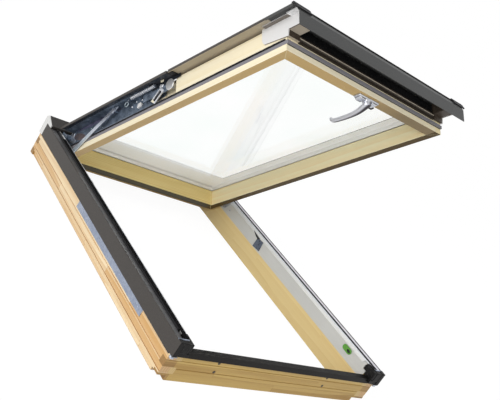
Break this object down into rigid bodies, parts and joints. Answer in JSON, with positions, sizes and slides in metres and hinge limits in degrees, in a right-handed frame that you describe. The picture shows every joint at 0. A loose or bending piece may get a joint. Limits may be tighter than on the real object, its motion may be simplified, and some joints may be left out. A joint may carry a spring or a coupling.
{
  "type": "roof window",
  "caption": "Top-hung centre pivot roof window: pine frame with dark metal cladding and a glazed pine sash held open on steel arms.",
  "frame": {"origin": "centre of the frame's room-side face, on the plane it lies on", "axes": "+Y up the roof slope towards the hinge line, +X across the window to the right seen from its lower end, +Z out of the roof"},
  "size_m": [0.78, 1.092, 0.8783],
  "materials": {
    "black_plastic": "matt",
    "black_rubber": "matt",
    "brown_profile": "painted satin",
    "dark_cladding": "painted satin",
    "frame_pine": "satin",
    "glass": "clear",
    "green_plastic": "satin",
    "grey_cladding": "painted satin",
    "grey_profile": "satin",
    "grey_rubber": "matt",
    "light_metal": "satin",
    "sash_pine": "satin",
    "satin_chrome": "satin",
    "spacer_metal": "satin",
    "white_plastic": "matt",
    "zinc_steel": "zinc coated"
  },
  "bodies": {
    "frame": {"frame_head_rail": "frame_pine", "frame_sill_rail": "frame_pine", "head_cover": "dark_cladding", "left_corner_cap": "black_plastic", "left_fixing_strip": "zinc_steel", "left_frame_stile": "frame_pine", "left_groove_gasket": "black_rubber", "left_guide_bracket": "zinc_steel", "left_head_end_plate": "light_metal", "left_hinge_bracket": "zinc_steel", "left_inner_profile": "grey_profile", "left_lock_plug": "green_plastic", "left_ridge_sheet": "grey_cladding", "left_side_cladding": "dark_cladding", "left_spring_cover": "light_metal", "right_corner_cap": "black_plastic", "right_fixing_strip": "zinc_steel", "right_frame_stile": "frame_pine", "right_groove_gasket": "black_rubber", "right_guide_bracket": "zinc_steel", "right_head_end_plate": "light_metal", "right_hinge_bracket": "zinc_steel", "right_inner_profile": "grey_profile", "right_lock_plug": "green_plastic", "right_ridge_sheet": "grey_cladding", "right_side_cladding": "dark_cladding", "right_spring_cover": "light_metal", "sill_cladding": "dark_cladding"},
    "arms": {"left_arm_cladding": "dark_cladding", "left_arm_lever": "zinc_steel", "left_hinge_arm": "zinc_steel", "left_pivot_disc": "light_metal", "right_arm_cladding": "dark_cladding", "right_arm_lever": "zinc_steel", "right_hinge_arm": "zinc_steel", "right_pivot_disc": "light_metal"},
    "left_strut": {"left_strut": "zinc_steel"},
    "right_strut": {"right_strut": "zinc_steel"},
    "sash": {"glass_spacer": "spacer_metal", "handle_base": "satin_chrome", "inner_pane": "glass", "left_bumper": "black_rubber", "left_corner_cover": "white_plastic", "left_profile_end": "brown_profile", "left_sash_cladding": "dark_cladding", "left_sash_stile": "sash_pine", "outer_pane": "glass", "right_bumper": "black_rubber", "right_corner_cover": "white_plastic", "right_profile_end": "brown_profile", "right_sash_cladding": "dark_cladding", "right_sash_stile": "sash_pine", "sash_bottom_profile": "brown_profile", "sash_bottom_rail": "sash_pine", "sash_flap": "grey_cladding", "sash_gasket": "grey_rubber", "sash_top_cladding": "dark_cladding", "sash_top_rail": "sash_pine"},
    "handle": {"handle_lever": "satin_chrome"}
  },
  "joints": [
    {"name": "arm_hinge", "type": "hinge", "parent": "frame", "child": "arms", "pos_m": [0, 0.4673, 0.115], "axis": [1, 0, 0], "range_deg": [0, 47]},
    {"name": "left_strut_pivot", "type": "hinge", "parent": "arms", "child": "left_strut", "pos_m": [-0.338, 0.2918, 0.31273], "axis": [1, 0, 0], "range_deg": [0, 12.5]},
    {"name": "right_strut_pivot", "type": "hinge", "parent": "arms", "child": "right_strut", "pos_m": [0.338, 0.2918, 0.31273], "axis": [1, 0, 0], "range_deg": [0, 12.5]},
    {"name": "sash_pivot", "type": "hinge", "parent": "arms", "child": "sash", "pos_m": [0, 0.15635, 0.45578], "axis": [-1, 0, 0], "range_deg": [0, 160]},
    {"name": "handle_turn", "type": "hinge", "parent": "sash", "child": "handle", "pos_m": [0, -0.238, 0.75257], "axis": [0, 0.7314, 0.682], "range_deg": [0, 90]}
  ],
  "couplings": [
    {"joint": "left_strut_pivot", "follows": "arm_hinge", "ratio": 0.26596},
    {"joint": "right_strut_pivot", "follows": "arm_hinge", "ratio": 0.26596}
  ]
}
